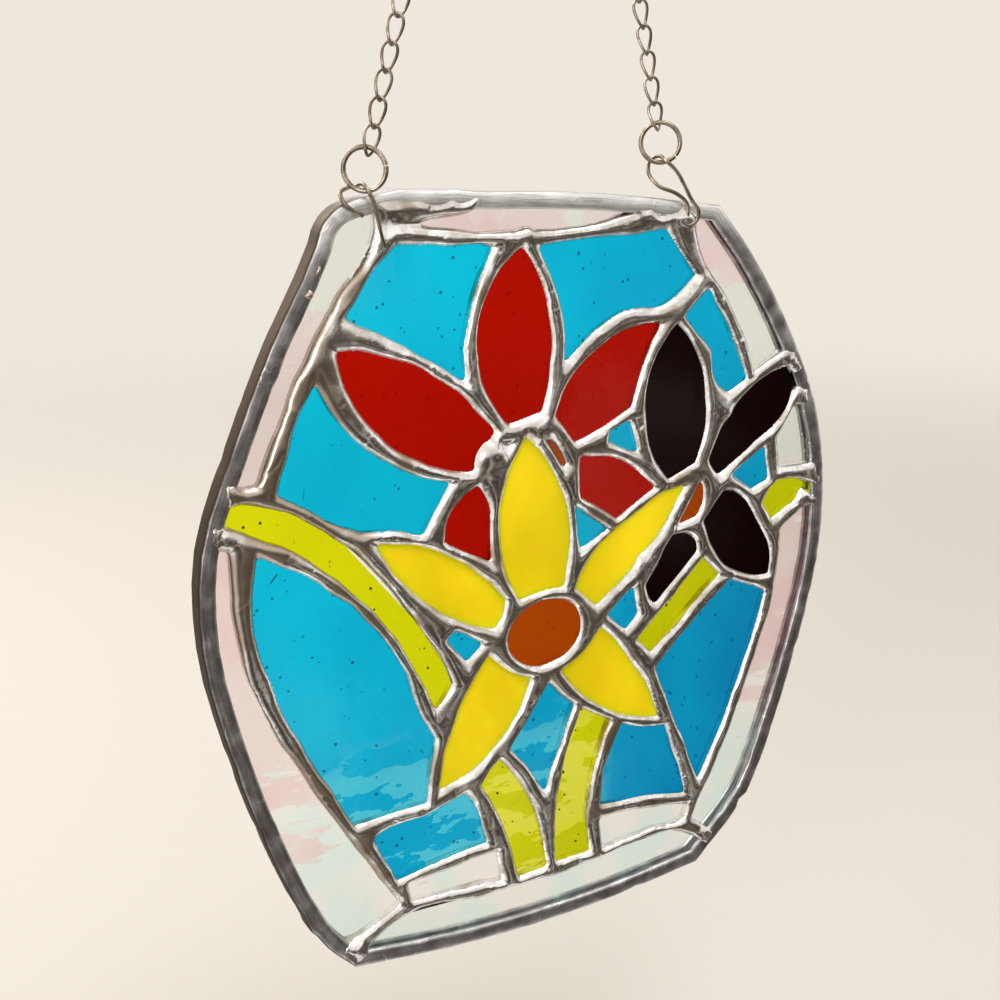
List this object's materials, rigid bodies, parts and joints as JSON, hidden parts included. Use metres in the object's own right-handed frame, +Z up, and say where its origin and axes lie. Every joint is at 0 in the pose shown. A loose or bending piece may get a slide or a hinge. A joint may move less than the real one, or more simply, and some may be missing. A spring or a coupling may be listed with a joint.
{
  "type": "stained glass suncatcher",
  "caption": "Barrel-shaped stained glass panel with red, yellow and dark flowers in a solder net, rimmed with lead came and hung by fine chains from a ring.",
  "frame": {"origin": "middle of the level facet inside the top of the hanging ring, where a hook carries the whole object", "axes": "+Z up along the hanging object, +Y towards the back of the panel, +X to the right seen from the front"},
  "size_m": [0.1857, 0.01, 0.3855],
  "materials": {
    "clear_glass": "clear to faintly pink, rippled and iridescent",
    "blue_glass": "seedy translucent turquoise blue",
    "red_glass": "deep red cathedral glass",
    "orange_glass": "orange-brown streaky glass",
    "dark_glass": "nearly black maroon glass",
    "yellow_glass": "opal yellow glass",
    "green_glass": "yellow-green cathedral glass",
    "solder": "hand-run tin solder, bright and rippled, brown in the hollows",
    "lead_came": "dull oxidised lead, worn and scratched",
    "steel_wire": "dulled plated steel"
  },
  "bodies": {
    "root": {"glass_blue_bottom_centre": "blue_glass", "glass_blue_bottom_left": "blue_glass", "glass_blue_bottom_right": "blue_glass", "glass_blue_chip_centre": "blue_glass", "glass_blue_chip_left": "blue_glass", "glass_blue_chip_right": "blue_glass", "glass_blue_chip_right_upper": "blue_glass", "glass_blue_chip_top": "blue_glass", "glass_blue_left": "blue_glass", "glass_blue_left_large": "blue_glass", "glass_blue_right_large": "blue_glass", "glass_blue_right_upper": "blue_glass", "glass_blue_top_left": "blue_glass", "glass_blue_top_right": "blue_glass", "glass_clear_bottom": "clear_glass", "glass_clear_bottom_left": "clear_glass", "glass_clear_bottom_right": "clear_glass", "glass_clear_left_lower": "clear_glass", "glass_clear_left_upper": "clear_glass", "glass_clear_right_lower": "clear_glass", "glass_clear_right_mid": "clear_glass", "glass_clear_right_upper": "clear_glass", "glass_clear_top": "clear_glass", "glass_dark_petal_lower_left": "dark_glass", "glass_dark_petal_lower_right": "dark_glass", "glass_dark_petal_top": "dark_glass", "glass_dark_petal_upper_right": "dark_glass", "glass_green_stem_bottom_left": "green_glass", "glass_green_stem_bottom_right": "green_glass", "glass_green_stem_left": "green_glass", "glass_green_stem_right": "green_glass", "glass_green_tip_right": "green_glass", "glass_orange_chip_right": "orange_glass", "glass_orange_chip_top": "orange_glass", "glass_orange_heart": "orange_glass", "glass_red_chip_left": "red_glass", "glass_red_petal_left": "red_glass", "glass_red_petal_lower_left": "red_glass", "glass_red_petal_lower_right": "red_glass", "glass_red_petal_right": "red_glass", "glass_red_petal_top": "red_glass", "glass_yellow_petal_left": "yellow_glass", "glass_yellow_petal_lower_left": "yellow_glass", "glass_yellow_petal_lower_right": "yellow_glass", "glass_yellow_petal_right": "yellow_glass", "glass_yellow_petal_top": "yellow_glass", "solder_net": "solder", "came_frame": "lead_came", "wire_loop_left": "steel_wire", "wire_loop_right": "steel_wire", "jump_ring_left": "steel_wire", "jump_ring_right": "steel_wire", "chain_left": "steel_wire", "chain_right": "steel_wire", "hanging_ring": "steel_wire"}
  },
  "joints": []
}
